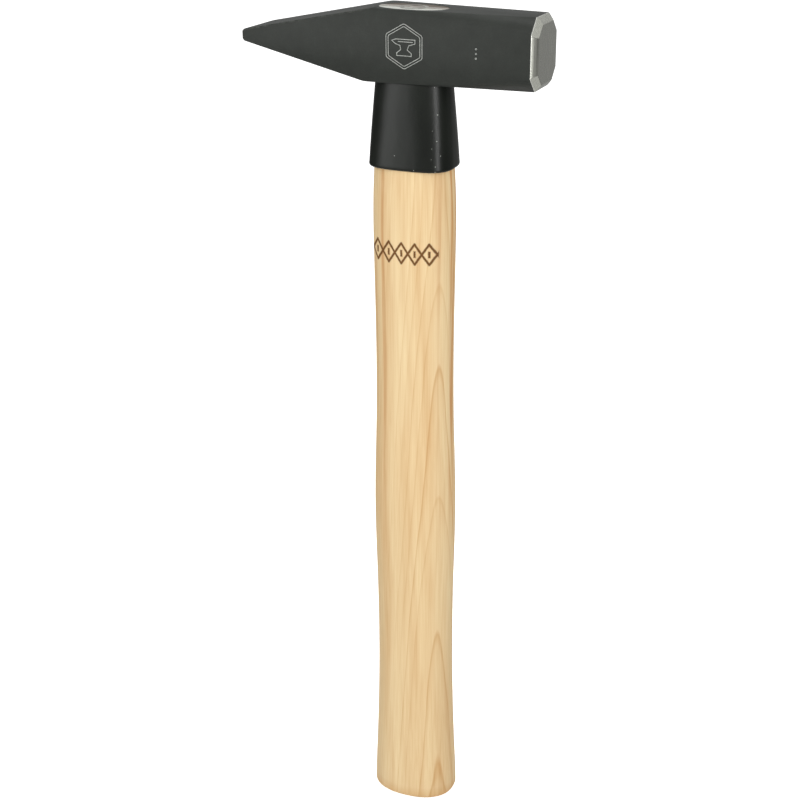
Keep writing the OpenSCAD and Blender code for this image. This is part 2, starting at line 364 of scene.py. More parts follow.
def ornament_mask(m, where, place, sizes):
    """1 on the branded lines, 0 off them, softened by the scorch around each line."""
    # Five diamonds, each as wide as the pitch and twice the rise in height
    pitch, rise = 5.5 * MM, 4.1 * MM
    middle_x, middle_z = -0.8 * MM, HEAD_MID - 79.0 * MM
    half_run = 2.5 * pitch
    half_tick = 0.9 * MM
    x = add(m, "ShaderNodeMath", {0: where.outputs["X"]}, operation="SUBTRACT", i1=middle_x)
    z = add(m, "ShaderNodeMath", {0: where.outputs["Z"]}, operation="SUBTRACT", i1=middle_z)
    x_size = add(m, "ShaderNodeMath", {0: x}, operation="ABSOLUTE")
    z_size = add(m, "ShaderNodeMath", {0: z}, operation="ABSOLUTE")
    step = add(m, "ShaderNodeMath", {0: x}, operation="DIVIDE", i1=pitch)
    shift = add(m, "ShaderNodeMath", {0: step}, operation="ADD", i1=0.5)
    wave = add(m, "ShaderNodeMath", {0: shift}, operation="PINGPONG", i1=0.5)
    from_tip = add(m, "ShaderNodeMath", {0: wave}, operation="MULTIPLY", i1=2 * rise)
    gap = add(m, "ShaderNodeMath", {0: z_size, 1: from_tip}, operation="SUBTRACT")
    slanted = add(m, "ShaderNodeMath", {0: gap}, operation="ABSOLUTE")
    slope = math.hypot(1.0, 2 * rise / pitch)
    line = add(m, "ShaderNodeMath", {0: slanted}, operation="DIVIDE", i1=slope)
    # A tick stands in the middle of each diamond
    off = add(m, "ShaderNodeMath", {0: step}, operation="ROUND")
    near = add(m, "ShaderNodeMath", {0: step, 1: off}, operation="SUBTRACT")
    aside = add(m, "ShaderNodeMath", {0: near}, operation="MULTIPLY", i1=pitch)
    side = add(m, "ShaderNodeMath", {0: aside}, operation="ABSOLUTE")
    high = add(m, "ShaderNodeMath", {0: z_size}, operation="SUBTRACT", i1=half_tick)
    tick = add(m, "ShaderNodeMath", {0: side, 1: high}, operation="MAXIMUM")
    either = add(m, "ShaderNodeMath", {0: line, 1: tick}, operation="MINIMUM")
    # Keep it inside its own run and on the near side of the handle
    past = add(m, "ShaderNodeMath", {0: x_size}, operation="SUBTRACT", i1=half_run)
    inside = add(m, "ShaderNodeMath", {0: either, 1: past}, operation="MAXIMUM")
    tall = add(m, "ShaderNodeMath", {0: z_size}, operation="SUBTRACT", i1=rise)
    held = add(m, "ShaderNodeMath", {0: inside, 1: tall}, operation="MAXIMUM")
    rough = add(m, "ShaderNodeTexNoise", {"Vector": place}, Scale=1400.0, Detail=2.0)
    ragged = add(m, "ShaderNodeMath", {0: rough.outputs["Fac"], 2: held},
                 operation="MULTIPLY_ADD", i1=0.35 * MM)
    half = sizes.ornament_line / 2
    mask = add(m, "ShaderNodeMapRange", {"Value": ragged},
               **{"From Min": half + 0.32 * MM, "From Max": half - 0.02 * MM})
    front = add(m, "ShaderNodeMath", {0: where.outputs["Y"]}, operation="LESS_THAN", i1=0.0)
    both = add(m, "ShaderNodeMath", {0: mask, 1: front}, operation="MULTIPLY")
    return both.outputs[0]


def moulded_polypropylene(colours):
    """Black polypropylene from a polished mould: glossy, with flow ripples and dust specks."""
    m = new_material("moulded_polypropylene")
    place = add(m, "ShaderNodeTexCoord").outputs["Object"]
    # Flow ripples about 7 mm apart and a fine mould texture drawn 0.4 mm across
    flow_at = add(m, "ShaderNodeMapping", {"Vector": place}, Scale=(150.0, 150.0, 60.0))
    flow = add(m, "ShaderNodeTexNoise", {"Vector": flow_at}, Scale=1.0, Detail=2.0)
    fine = add(m, "ShaderNodeTexNoise", {"Vector": place}, Scale=2600.0, Detail=2.0)
    # Dust and small scuffs, about 0.4 mm, thicker towards the foot and down the face side
    where = add(m, "ShaderNodeSeparateXYZ", {"Vector": place})
    sheet = add(m, "ShaderNodeCombineXYZ", {"X": where.outputs["X"], "Y": where.outputs["Z"]})
    dots = add(m, "ShaderNodeTexVoronoi", {"Vector": sheet}, voronoi_dimensions="2D",
               Scale=620.0, Randomness=1.0)
    near = add(m, "ShaderNodeMapRange", {"Value": dots.outputs["Distance"]},
               **{"From Min": 0.16, "From Max": 0.09})
    pick = add(m, "ShaderNodeSeparateColor", {"Color": dots.outputs["Color"]})
    low = add(m, "ShaderNodeMapRange", {"Value": where.outputs["Z"]},
              **{"From Min": SLEEVE_FOOT, "From Max": SLEEVE_FOOT + 7 * MM, "To Min": 0.86})
    face_side = add(m, "ShaderNodeMath", {0: where.outputs["X"]}, operation="COMPARE",
                    i1=12.8 * MM, i2=1.6 * MM)
    limit = add(m, "ShaderNodeMath", {0: face_side, 2: low}, operation="MULTIPLY_ADD", i1=-0.14)
    few = add(m, "ShaderNodeMath", {0: pick, 1: limit}, operation="GREATER_THAN")
    dust = add(m, "ShaderNodeMath", {0: near, 1: few}, operation="MULTIPLY")
    shade = add(m, "ShaderNodeValToRGB", {"Fac": flow.outputs["Fac"]})
    ramp_stops(shade, [(0.3, tinted(colours.plastic, 0.8)), (0.7, tinted(colours.plastic, 1.25))])
    tone = add(m, "ShaderNodeMix", {"Factor": dust, 6: shade}, data_type="RGBA", i7=linear("82857f"))
    ripple = add(m, "ShaderNodeBump", {"Height": flow.outputs["Fac"]}, Strength=0.15, Distance=0.6 * MM)
    skin = add(m, "ShaderNodeBump", {"Height": fine.outputs["Fac"], "Normal": ripple},
               Strength=0.06, Distance=0.05 * MM)
    gloss = add(m, "ShaderNodeMapRange", {"Value": fine.outputs["Fac"]},
                **{"To Min": 0.28, "To Max": 0.40})
    shader = add(m, "ShaderNodeBsdfPrincipled",
                 {"Base Color": tone.outputs[2], "Roughness": gloss, "Normal": skin})
    shader.inputs["IOR"].default_value = 1.49
    shader.inputs["Specular IOR Level"].default_value = 0.27
    return finish_material(m, shader)


def sawn_beech():
    """Beech wedge sawn off flush, in the same grey as the end of the handle, a painted sheen: dry end
    grain with fine rays.
    """
    m = new_material("sawn_beech")
    place = add(m, "ShaderNodeTexCoord").outputs["Object"]
    # Rays 1 mm apart, across the wedge
    rays_at = add(m, "ShaderNodeMapping", {"Vector": place}, Scale=(900.0, 250.0, 120.0))
    rays = add(m, "ShaderNodeTexNoise", {"Vector": rays_at}, Scale=1.0, Detail=3.0)
    # Grey tones: a painted sheen over the end grain
    tone = add(m, "ShaderNodeValToRGB", {"Fac": rays.outputs["Fac"]})
    ramp_stops(tone, [(0.3, linear("86807a")), (0.7, linear("a5a19a"))])
    rough = add(m, "ShaderNodeBump", {"Height": rays.outputs["Fac"]}, Strength=0.3, Distance=0.1 * MM)
    dry = add(m, "ShaderNodeMapRange", {"Value": rays.outputs["Fac"]}, **{"To Min": 0.6, "To Max": 0.8})
    shader = add(m, "ShaderNodeBsdfPrincipled",
                 {"Base Color": tone.outputs["Color"], "Roughness": dry, "Normal": rough})
    return finish_material(m, shader)


def turned_mild_steel():
    """Mild steel ring, turned and hammered in: bright, with small dents."""
    m = new_material("turned_mild_steel")
    place = add(m, "ShaderNodeTexCoord").outputs["Object"]
    # Hammer marks about 1.5 mm across
    dents = add(m, "ShaderNodeTexNoise", {"Vector": place}, Scale=650.0, Detail=3.0)
    tone = add(m, "ShaderNodeValToRGB", {"Fac": dents.outputs["Fac"]})
    ramp_stops(tone, [(0.3, linear("83837e")), (0.7, linear("b9b9b2"))])
    struck = add(m, "ShaderNodeBump", {"Height": dents.outputs["Fac"]}, Strength=0.4, Distance=0.1 * MM)
    rubbed = add(m, "ShaderNodeMapRange", {"Value": dents.outputs["Fac"]},
                 **{"To Min": 0.28, "To Max": 0.5})
    shader = add(m, "ShaderNodeBsdfPrincipled",
                 {"Base Color": tone.outputs["Color"], "Roughness": rubbed, "Normal": struck})
    shader.inputs["Metallic"].default_value = 1.0
    return finish_material(m, shader)


def laser_marked_steel():
    """Lacquer burnt off by a laser down to dull bare steel: light matt grey lines."""
    m = new_material("laser_marked_steel")
    place = add(m, "ShaderNodeTexCoord").outputs["Object"]
    # The beam leaves pits of about 0.1 mm; drawn 0.4 mm
    pits = add(m, "ShaderNodeTexNoise", {"Vector": place}, Scale=2400.0, Detail=2.0)
    tone = add(m, "ShaderNodeValToRGB", {"Fac": pits.outputs["Fac"]})
    ramp_stops(tone, [(0.3, linear("8a8d88")), (0.7, linear("b9bcb6"))])
    dry = add(m, "ShaderNodeMapRange", {"Value": pits.outputs["Fac"]}, **{"To Min": 0.5, "To Max": 0.7})
    burr_and_rim_highlight = add(m, "ShaderNodeBump", {"Height": pits.outputs["Fac"]}, Strength=0.2, Distance=0.04 * MM)
    shader = add(m, "ShaderNodeBsdfPrincipled",
                 {"Base Color": tone.outputs["Color"], "Roughness": dry, "Normal": burr_and_rim_highlight})
    shader.inputs["Metallic"].default_value = 0.3
    return finish_material(m, shader)


def painted_board(colours):
    """Pale board, rolled with flat paint: the stage's floor and wall, matt and nearly even."""
    m = new_material("painted_board")
    place = add(m, "ShaderNodeTexCoord").outputs["Object"]
    # Roller stipple about 20 mm across, too faint to draw the eye
    stipple = add(m, "ShaderNodeTexNoise", {"Vector": place}, Scale=50.0, Detail=1.0)
    tone = add(m, "ShaderNodeValToRGB", {"Fac": stipple.outputs["Fac"]})
    ramp_stops(tone, [(0.3, tinted(colours.floor, 0.992)), (0.7, tinted(colours.floor, 1.0))])
    shader = add(m, "ShaderNodeBsdfPrincipled", {"Base Color": tone.outputs["Color"]})
    shader.inputs["Roughness"].default_value = 0.9
    shader.inputs["Specular IOR Level"].default_value = 0.1
    # A light of its own keeps the board white out to its far edge
    shader.inputs["Emission Color"].default_value = grey(1.0)
    shader.inputs["Emission Strength"].default_value = 0.6
    return finish_material(m, shader)


# ---------------------------------------------------------------- mesh helpers

def mesh_piece(name, bm, material, smooth=True):
    """A scene object from a bmesh, with its material and with smooth or flat faces."""
    bmesh.ops.recalc_face_normals(bm, faces=bm.faces)
    data = bpy.data.meshes.new(name)
    bm.to_mesh(data)
    bm.free()
    data.polygons.foreach_set("use_smooth", [smooth] * len(data.polygons))
    data.materials.append(material)
    piece = bpy.data.objects.new(name, data)
    bpy.context.scene.collection.objects.link(piece)
    return piece


def settle(piece):
    """Applies the piece's modifiers to its own mesh."""
    shaped = piece.evaluated_get(bpy.context.evaluated_depsgraph_get())
    data = bpy.data.meshes.new_from_object(shaped)
    piece.modifiers.clear()
    piece.data = data


def signed_power(value, power):
    """A power that keeps the value's sign."""
    return math.copysign(abs(value) ** power, value)


def oval_points(a, b, power, z, sides):
    """Points around an oval of half sizes a and b; a higher power is squarer."""
    points = []
    for i in range(sides):
        t = 2 * math.pi * (i + 0.5) / sides
        points.append(Vector((a * signed_power(math.cos(t), 2 / power),
                              b * signed_power(math.sin(t), 2 / power), z)))
    return points


def loft(stations, sides, close_foot=True, close_top=True):
    """Skin through stations of (height, half width, half thickness, power)."""
    bm = bmesh.new()
    rings = [[bm.verts.new(p) for p in oval_points(a, b, n, z, sides)] for z, a, b, n in stations]
    for low, high in zip(rings, rings[1:]):
        for i in range(sides):
            j = (i + 1) % sides
            bm.faces.new((low[i], low[j], high[j], high[i]))
    if close_foot:
        bm.faces.new(list(reversed(rings[0])))
    if close_top:
        bm.faces.new(rings[-1])
    return bm


def smooth_between(table, x):
    """Smooth curve through (x, value) pairs."""
    for i in range(len(table) - 1):
        (x1, v1), (x2, v2) = table[i], table[i + 1]
        if x <= x2 or i == len(table) - 2:
            x0, v0 = table[max(i - 1, 0)]
            x3, v3 = table[min(i + 2, len(table) - 1)]
            t = min(max((x - x1) / (x2 - x1), 0.0), 1.0)
            m1 = (v2 - v0) / (x2 - x0) * (x2 - x1)
            m2 = (v3 - v1) / (x3 - x1) * (x2 - x1)
            return ((2 * t ** 3 - 3 * t ** 2 + 1) * v1 + (t ** 3 - 2 * t ** 2 + t) * m1
                    + (3 * t ** 2 - 2 * t ** 3) * v2 + (t ** 3 - t ** 2) * m2)


def blend(a, b, t):
    """From a at t = 0 to b at t = 1."""
    return a + (b - a) * t


def quarter_round(steps):
    """Sine and cosine at even steps of a quarter turn, both ends included."""
    turns = [math.pi / 2 * k / steps for k in range(steps + 1)]
    return [(math.sin(turn), math.cos(turn)) for turn in turns]


# Width of the handle at fractions of the height of the sleeve's foot, relative to the
# butt: a swelled end, a narrow waist, a palm swell and a slimmer shank
GRIP = [(0.0, 1.0), (0.03, 0.992), (0.09, 0.951), (0.16, 0.914), (0.23, 0.892), (0.30, 0.889),
        (0.37, 0.902), (0.43, 0.924), (0.48, 0.935), (0.53, 0.929), (0.58, 0.908), (0.63, 0.884),
        (0.68, 0.871), (0.74, 0.870), (0.80, 0.877), (0.86, 0.890), (0.92, 0.898), (0.96, 0.889),
        (1.0, 0.860)]
# How square the sections are: 2 is an oval, and a higher number is squarer
HANDLE_CURVE, SLEEVE_CURVE, SLEEVE_TOP_CURVE = 2.3, 3.2, 2.4
# Thickness of the handle against its width, and half sizes of the butt and of the eye
HANDLE_RATIO = 0.745
BUTT_HALF = 18.4 * MM
EYE_HALF = (13.5 * MM, 8.2 * MM)


def neck_half(t):
    """Half sizes of the handle's neck, from the sleeve's foot (0) to the head (1)."""
    low = BUTT_HALF * GRIP[-1][1]
    return blend(low, EYE_HALF[0], t), blend(low * HANDLE_RATIO, EYE_HALF[1], t)


# ---------------------------------------------------------------- the head

# The bevel round the face is ground in this many strips, and rolled out by this much of its width
FACE_STRIPS = 5
FACE_ROLL = 0.0455

# Joints between flats that turn by less than this, in radians, stay as they are
SOFTEST_EDGE = 0.14
# The ridges where the peen starts lie between these two places along the head
RIDGE_ZONE = (-18 * MM, -12 * MM)


def face_roll(k, inset, deep):
    """Station k of the bevel round the face: (distance along the head, distance inwards)."""
    t = k / FACE_STRIPS
    bulge = FACE_ROLL * 4 * t * (1 - t)
    return Vector((deep * t + bulge * inset, inset * t - bulge * deep))


def head_planes():
    """The flats of the forging, each as (point, outward normal), with the head's middle at Z 0."""
    half_h, ridge_h = (HEAD_HIGH.z - HEAD_LOW.z) / 2, 13.35 * MM
    # The bevel round the face, the corner flats at the rim, and the end of the peen
    inset, deep = 2.6 * MM, FACE_X - RIM_X
    across, up = 6.0 * MM, 5.6 * MM
    peen_h, peen_z, nose = 2.35 * MM, 0.5 * MM, 0.85 * MM
    planes = [((FACE_X, 0, 0), (1, 0, 0)), ((PEEN_X, 0, 0), (-1, 0, 0))]
    for s in (-1, 1):
        planes.append(((RIM_X, s * RIM_HALF, 0), (PEEN_HALF - RIM_HALF, s * (RIM_X - PEEN_X), 0)))
        # Each side of the face is ground slightly round, in narrow strips that shade as one
        for k in range(FACE_STRIPS):
            one, two = (face_roll(k + i, inset, deep) for i in (0, 1))
            out, back = two[0] - one[0], one[1] - two[1]
            planes.append(((RIM_X + one[0], s * (RIM_HALF - one[1]), 0), (-back, s * out, 0)))
            planes.append(((RIM_X + one[0], 0, s * (half_h - one[1])), (-back, 0, s * out)))
        ridge = UPPER_RIDGE_X if s > 0 else LOWER_RIDGE_X
        tip_z = peen_z + s * peen_h
        planes.append(((ridge, 0, s * ridge_h), (ridge_h - half_h, 0, s * (RIM_X - ridge))))
        planes.append(((ridge, 0, s * ridge_h), (s * tip_z - ridge_h, 0, s * (ridge - PEEN_X - nose))))
        planes.append(((PEEN_X, 0, peen_z + s * (peen_h - nose)), (-1, 0, s)))
    t = (CORNER_FLAT_X - UPPER_RIDGE_X) / (RIM_X - UPPER_RIDGE_X)
    start_h = blend(ridge_h, half_h, t)
    for y in (-1, 1):
        for z in (-1, 1):
            start = Vector((CORNER_FLAT_X, y * -cheek_y(CORNER_FLAT_X), z * start_h))
            one = Vector((RIM_X, y * (RIM_HALF - across), z * half_h))
            two = Vector((RIM_X, y * RIM_HALF, z * (half_h - up)))
            flat = (one - start).cross(two - start)
            planes.append((start, flat if flat.y * y > 0 else -flat))
            # The ground corner between two sides of the bevel
            inward = Vector((0, -y * up, -z * across)).normalized()
            corner = (two - one).cross(inward * inset + Vector((deep, 0, 0)))
            planes.append((one, corner if corner.x > 0 else -corner))
    return planes


def forged_head(sizes, material):
    """The forging with rounded edges, a crisp ground face and the oval eye."""
    # A block larger than the head, in metres, is cut down flat by flat
    block, on_cut, same_spot, same_plane = 0.3, 1e-7, 1e-6, 0.002
    bm = bmesh.new()
    bmesh.ops.create_cube(bm, size=block)
    for point, normal in head_planes():
        cut = bmesh.ops.bisect_plane(bm, geom=bm.verts[:] + bm.edges[:] + bm.faces[:],
                                     dist=on_cut, plane_co=point, clear_outer=True,
                                     plane_no=Vector(normal).normalized())
        loop = [e for e in cut["geom_cut"] if isinstance(e, bmesh.types.BMEdge)]
        if loop:
            bmesh.ops.edgeloop_fill(bm, edges=loop)
    bmesh.ops.remove_doubles(bm, verts=bm.verts, dist=same_spot)
    bmesh.ops.dissolve_limit(bm, angle_limit=same_plane, verts=bm.verts, edges=bm.edges)
    weight = bm.edges.layers.float.new("bevel_weight_edge")
    widest = max(sizes.forged_edge, sizes.ground_edge, sizes.ridge_edge)
    at_rim, past_ridges, peen_end = RIM_X - 0.1 * MM, UPPER_RIDGE_X - 3 * MM, PEEN_X + 2 * MM
    for edge in bm.edges:
        if len(edge.link_faces) != 2 or edge.calc_face_angle() < SOFTEST_EDGE:
            continue
        near_peen, near_face = sorted(v.co.x for v in edge.verts)
        runs_across = near_face - near_peen < 2.5 * MM
        if near_peen > at_rim:
            size = sizes.ground_edge
        elif runs_across and RIDGE_ZONE[0] < near_peen < RIDGE_ZONE[1]:
            size = sizes.ridge_edge
        elif near_peen > past_ridges:
            # The coat's own shading rounds these, as the corner flats start too thin
            continue
        elif near_face < peen_end:
            size = sizes.forged_edge / 2
        else:
            size = sizes.forged_edge
        edge[weight] = size / widest
    bmesh.ops.translate(bm, verts=bm.verts, vec=(0, 0, HEAD_MID))
    head = mesh_piece("forged_head", bm, material)
    round_off = head.modifiers.new("rounded_edges", "BEVEL")
    round_off.limit_method = "WEIGHT"
    round_off.width = widest
    round_off.segments = 4
    settle(head)

    # The eye is straight, with its upper rim eased
    long, thick = EYE_HALF
    ease = 1.2 * MM
    eye = loft([(HEAD_LOW.z - 5 * MM, long, thick, HANDLE_CURVE),
                (HEAD_HIGH.z - 0.5 * MM, long, thick, HANDLE_CURVE),
                (HEAD_HIGH.z + 1.0 * MM, long + ease, thick + ease, HANDLE_CURVE)], sides=96)
    cutter = mesh_piece("eye_cutter", eye, material)
    through = head.modifiers.new("eye", "BOOLEAN")
    through.operation = "DIFFERENCE"
    through.solver = "EXACT"
    through.object = cutter
    settle(head)
    bpy.data.objects.remove(cutter)
    even = head.modifiers.new("even_shading", "WEIGHTED_NORMAL")
    even.keep_sharp = False
    even.weight = 100
    even.mode = "FACE_AREA"
    return head


# ---------------------------------------------------------------- the mark on the cheek

def cheek_y(x):
    """Where the near cheek lies in Y at a distance x along the head."""
    return -blend(PEEN_HALF, RIM_HALF, (x - PEEN_X) / (RIM_X - PEEN_X))


def ribbon(bm, points, width, closed):
    """A flat raised line through points (x, z) on the near cheek, with mitred corners."""
    lift, sink = 0.03 * MM, 0.10 * MM
    count = len(points)
    rails = []
    for i, p in enumerate(points):
        before = points[(i - 1) % count] if closed or i > 0 else None
        after = points[(i + 1) % count] if closed or i < count - 1 else None
        d1 = (p - before).normalized() if before is not None else (after - p).normalized()
        d2 = (after - p).normalized() if after is not None else d1
        n1, n2 = Vector((-d1.y, d1.x)), Vector((-d2.y, d2.x))
        mitre = (n1 + n2).normalized()
        reach = width / 2 / max(mitre.dot(n1), 0.5)
        left, right = p + mitre * reach, p - mitre * reach
        rails.append([bm.verts.new((q.x, cheek_y(q.x) + out, HEAD_MID + q.y))
                      for q, out in ((left, -lift), (right, -lift), (right, sink), (left, sink))])
    for i in range(count if closed else count - 1):
        one, two = rails[i], rails[(i + 1) % count]
        for k in range(4):
            bm.faces.new((one[k], one[(k + 1) % 4], two[(k + 1) % 4], two[k]))
    if not closed:
        bm.faces.new(rails[0])
        bm.faces.new(list(reversed(rails[-1])))


def cheek_mark(sizes, material):
    """A double six-sided border with a plain anvil outline, and three punch dots."""
    bm = bmesh.new()
    middle = Vector((1.1 * MM, 0.6 * MM))
    for radius in (8.3 * MM, 7.3 * MM):
        corners = []
        for k in range(6):
            at, last, following = (middle + Vector((math.cos(a), math.sin(a))) * radius
                                   for a in (math.radians(60 * k + d) for d in (30, -30, 90)))
            # Each corner is cut off twice, so that it looks round
            corners += [at.lerp(last, 0.14), at.lerp(last, 0.05)]
            corners += [at.lerp(following, 0.05), at.lerp(following, 0.14)]
        ribbon(bm, corners, sizes.mark_line, True)
    # Anvil, in mm from the middle of the border: horn to the left, face on top, then the waist
    anvil = [(-4.9, 2.0), (-3.2, 2.6), (4.4, 2.6), (4.4, 1.2), (1.9, 0.4), (1.3, -1.2), (2.9, -2.4),
             (2.9, -3.4), (-2.9, -3.4), (-2.9, -2.4), (-1.3, -1.2), (-1.6, 0.3), (-3.4, 0.9)]
    ribbon(bm, [middle + Vector(p) * MM for p in anvil], sizes.mark_line, True)
    ribbon(bm, [middle + Vector(p) * MM for p in ((-2.4, 1.7), (3.5, 1.7))], sizes.mark_line, False)
    # Three punch dots in a column, each a small ring
    punch_x, top_punch, pitch = 29.4 * MM, 1.6 * MM, 1.7 * MM
    radius, line, sides = 0.26 * MM, 0.20 * MM, 12
    for k in range(3):
        spot = Vector((punch_x, top_punch - pitch * k))
        ring = [spot + Vector((math.cos(a), math.sin(a))) * radius
                for a in (2 * math.pi * i / sides for i in range(sides))]
        ribbon(bm, ring, line, True)
    return mesh_piece("cheek_mark", bm, material, smooth=False)


# ---------------------------------------------------------------- operators

class HAMMER_OT_head(bpy.types.Operator):
    """Forged head with its ground face and eye"""
    bl_idname = "hammer.head"
    bl_label = "Forged head"

    def execute(self, context):
        scene = context.scene
        piece = forged_head(scene.hammer_sizes, lacquered_forged_steel(scene.hammer_colours))
        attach(piece, "root")
        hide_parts("head")
        return {"FINISHED"}


class HAMMER_OT_cheek_mark(bpy.types.Operator):
    """Generic laser mark and punch dots on the near cheek"""
    bl_idname = "hammer.cheek_mark"
    bl_label = "Cheek mark"

    def execute(self, context):
        piece = cheek_mark(context.scene.hammer_sizes, laser_marked_steel())
        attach(piece, "root")
        return {"FINISHED"}


class HAMMER_OT_handle(bpy.types.Operator):
    """Hickory handle from the butt to the top of the eye"""
    bl_idname = "hammer.handle"
    bl_label = "Hickory handle"

    def execute(self, context):
        sizes = context.scene.hammer_sizes
        round_off = sizes.butt_round
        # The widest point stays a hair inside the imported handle
        long, thick = BUTT_HALF * 0.999, BUTT_HALF * HANDLE_RATIO
        stations = []
        for sine, cosine in quarter_round(8):
            pull = round_off * (1 - sine)
            stations.append((round_off * (1 - cosine), long - pull, thick - pull, HANDLE_CURVE))
        z, step = round_off + 1.5 * MM, 3.0 * MM
        while z < SLEEVE_FOOT:
            half = BUTT_HALF * smooth_between(GRIP, z / SLEEVE_FOOT)
            stations.append((z, half, half * HANDLE_RATIO, HANDLE_CURVE))
            z += step
        # The neck keeps a little clear of the sleeve and the eye
        gap, rings = 0.02 * MM, 8
        for k in range(rings + 1):
            long, thick = neck_half(k / rings)
            stations.append((blend(SLEEVE_FOOT, HEAD_LOW.z, k / rings), long - gap, thick - gap,
                             HANDLE_CURVE))
        # The wedges spread the end in the eye; it stops below the ring so that both wedges show
        top = RING_TOP - 0.12 * MM
        for below, spread in ((2.0 * MM, 0.0), (0.5 * MM, 0.05 * MM), (0.15 * MM, 0.3 * MM),
                              (0.02 * MM, 0.0)):
            stations.append((top - below, EYE_HALF[0] + spread, EYE_HALF[1] + spread, HANDLE_CURVE))
        bm = loft(stations, sizes.handle_sides)
        piece = mesh_piece("hickory_handle", bm, lacquered_hickory(context.scene.hammer_colours, sizes))
        even = piece.modifiers.new("even_shading", "WEIGHTED_NORMAL")
        even.weight = 50
        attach(piece, "root")
        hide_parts("handle")
        return {"FINISHED"}


class HAMMER_OT_neck_sleeve(bpy.types.Operator):
    """Moulded black sleeve that guards the neck of the handle"""
    bl_idname = "hammer.neck_sleeve"
    bl_label = "Neck sleeve"

    def execute(self, context):
        sizes = context.scene.hammer_sizes
        # The lip's rounding goes in by 0.6 of its height
        lip, turn_in, top_round = sizes.sleeve_lip, 0.6, 0.5 * MM
        foot_half = (SLEEVE_HIGH.x, SLEEVE_HIGH.y)
        top_half = (15.0 * MM, 10.7 * MM)
        stations = []
        # The mouth: from just inside the wall out over the wood
        for up, along, slack in ((1.2 * MM, 0.03, -0.1 * MM), (0.25 * MM, 0.0, 0.1 * MM)):
            long, thick = neck_half(along)
            stations.append((SLEEVE_FOOT + up, long + slack, thick + slack, HANDLE_CURVE))
        for sine, cosine in quarter_round(8):
            pull = lip * (1 - sine) * turn_in
            stations.append((SLEEVE_FOOT + lip * (1 - cosine), foot_half[0] - pull,
                             foot_half[1] - pull, SLEEVE_CURVE))
        # The wall draws in slowly at first, and turns from nearly square to oval
        rings, draw_in = 30, 1.2
        for k in range(2, rings + 1):
            t = k / rings
            half = [blend(f, g, t ** draw_in) for f, g in zip(foot_half, top_half)]
            drop = top_round if k == rings else 0
            stations.append((blend(SLEEVE_FOOT, SLEEVE_HIGH.z, t) - drop, *half,
                             blend(SLEEVE_CURVE, SLEEVE_TOP_CURVE, t)))
        for sine, cosine in quarter_round(4)[1:]:
            pull = top_round * (1 - cosine)
            stations.append((SLEEVE_HIGH.z - top_round + top_round * sine, top_half[0] - pull,
                             top_half[1] - pull, SLEEVE_TOP_CURVE))
        bm = loft(stations, sizes.handle_sides, close_foot=False, close_top=False)
        piece = mesh_piece("neck_sleeve_skin", bm, moulded_polypropylene(context.scene.hammer_colours))
        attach(piece, "root")
        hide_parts("neck_sleeve")
        return {"FINISHED"}


class HAMMER_OT_wedges(bpy.types.Operator):
    """Finishes of the wooden wedge and the steel ring wedge"""
    bl_idname = "hammer.wedges"
    bl_label = "Wedges"

    def execute(self, context):
        for node, material in (("wooden_wedge", sawn_beech()), ("ring_wedge", turned_mild_steel())):
            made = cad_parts[node]
            made.data.materials.clear()
            made.data.materials.append(material)
        return {"FINISHED"}


# ---------------------------------------------------------------- the stage

# Lights: name, place, what they point at, size in metres and power in watts
SOFT_BOXES = (
    ("key_softbox", (-0.50, -0.70, 0.42), (0.0, 0.0, 0.24), (0.50, 0.76), 3.65),
    ("side_strip", (0.60, -0.44, 0.36), (0.0, 0.0, 0.26), (0.14, 0.70), 3.3),
    ("top_softbox", (0.0, 0.25, 1.3), (0.0, 0.0, 0.2), (1.0, 1.0), 3.0))
# Half size of the floor, and the wall that curves up from it as (height, radius), in metres
FLOOR_HALF = 6.0
WALL = ((0.0, 5.4), (0.12, 5.8), (0.6, 6.2), (1.6, 6.4), (5.0, 6.5))
# The camera: place in metres, turn in degrees, lens and sensor in mm
CAMERA_PLACE = (0.21283, -0.52831, HEAD_MID + 0.09007)
CAMERA_TURN = (67.5453, -0.8313, 19.5859)
LENS, SENSOR, SHIFT = 66.96, 36.0, -0.1


class HAMMER_OT_stage(bpy.types.Operator):
    """Pale floor that curves up into a wall, soft studio lights and the camera"""
    bl_idname = "hammer.stage"
    bl_label = "Stage"

    def execute(self, context):
        scene = context.scene
        paint = painted_board(scene.hammer_colours)
        bm = bmesh.new()
        bmesh.ops.create_grid(bm, x_segments=8, y_segments=8, size=FLOOR_HALF)
        floor = mesh_piece("floor", bm, paint, smooth=False)
        around = loft([(height, radius, radius, 2) for height, radius in WALL], sides=96,
                      close_foot=False, close_top=False)
        wall = mesh_piece("sweep", around, paint)
        wall.visible_shadow = False
        # The hammer takes its light and its reflections from the lamps and the air alone
        for board in (floor, wall):
            board.visible_glossy = False
            board.visible_diffuse = False
        for light in SOFT_BOXES:
            soft_box(scene, *light)
        scene.world = studio_air()
        scene.view_settings.view_transform = "Standard"

        lens = bpy.data.cameras.new("camera")
        lens.sensor_width = SENSOR
        lens.lens = LENS
        lens.shift_x = SHIFT
        lens.clip_start, lens.clip_end = 0.01, 50.0
        camera = bpy.data.objects.new("camera", lens)
        camera.location = CAMERA_PLACE
        camera.rotation_euler = [math.radians(turn) for turn in CAMERA_TURN]
        scene.collection.objects.link(camera)
        scene.camera = camera
        return {"FINISHED"}


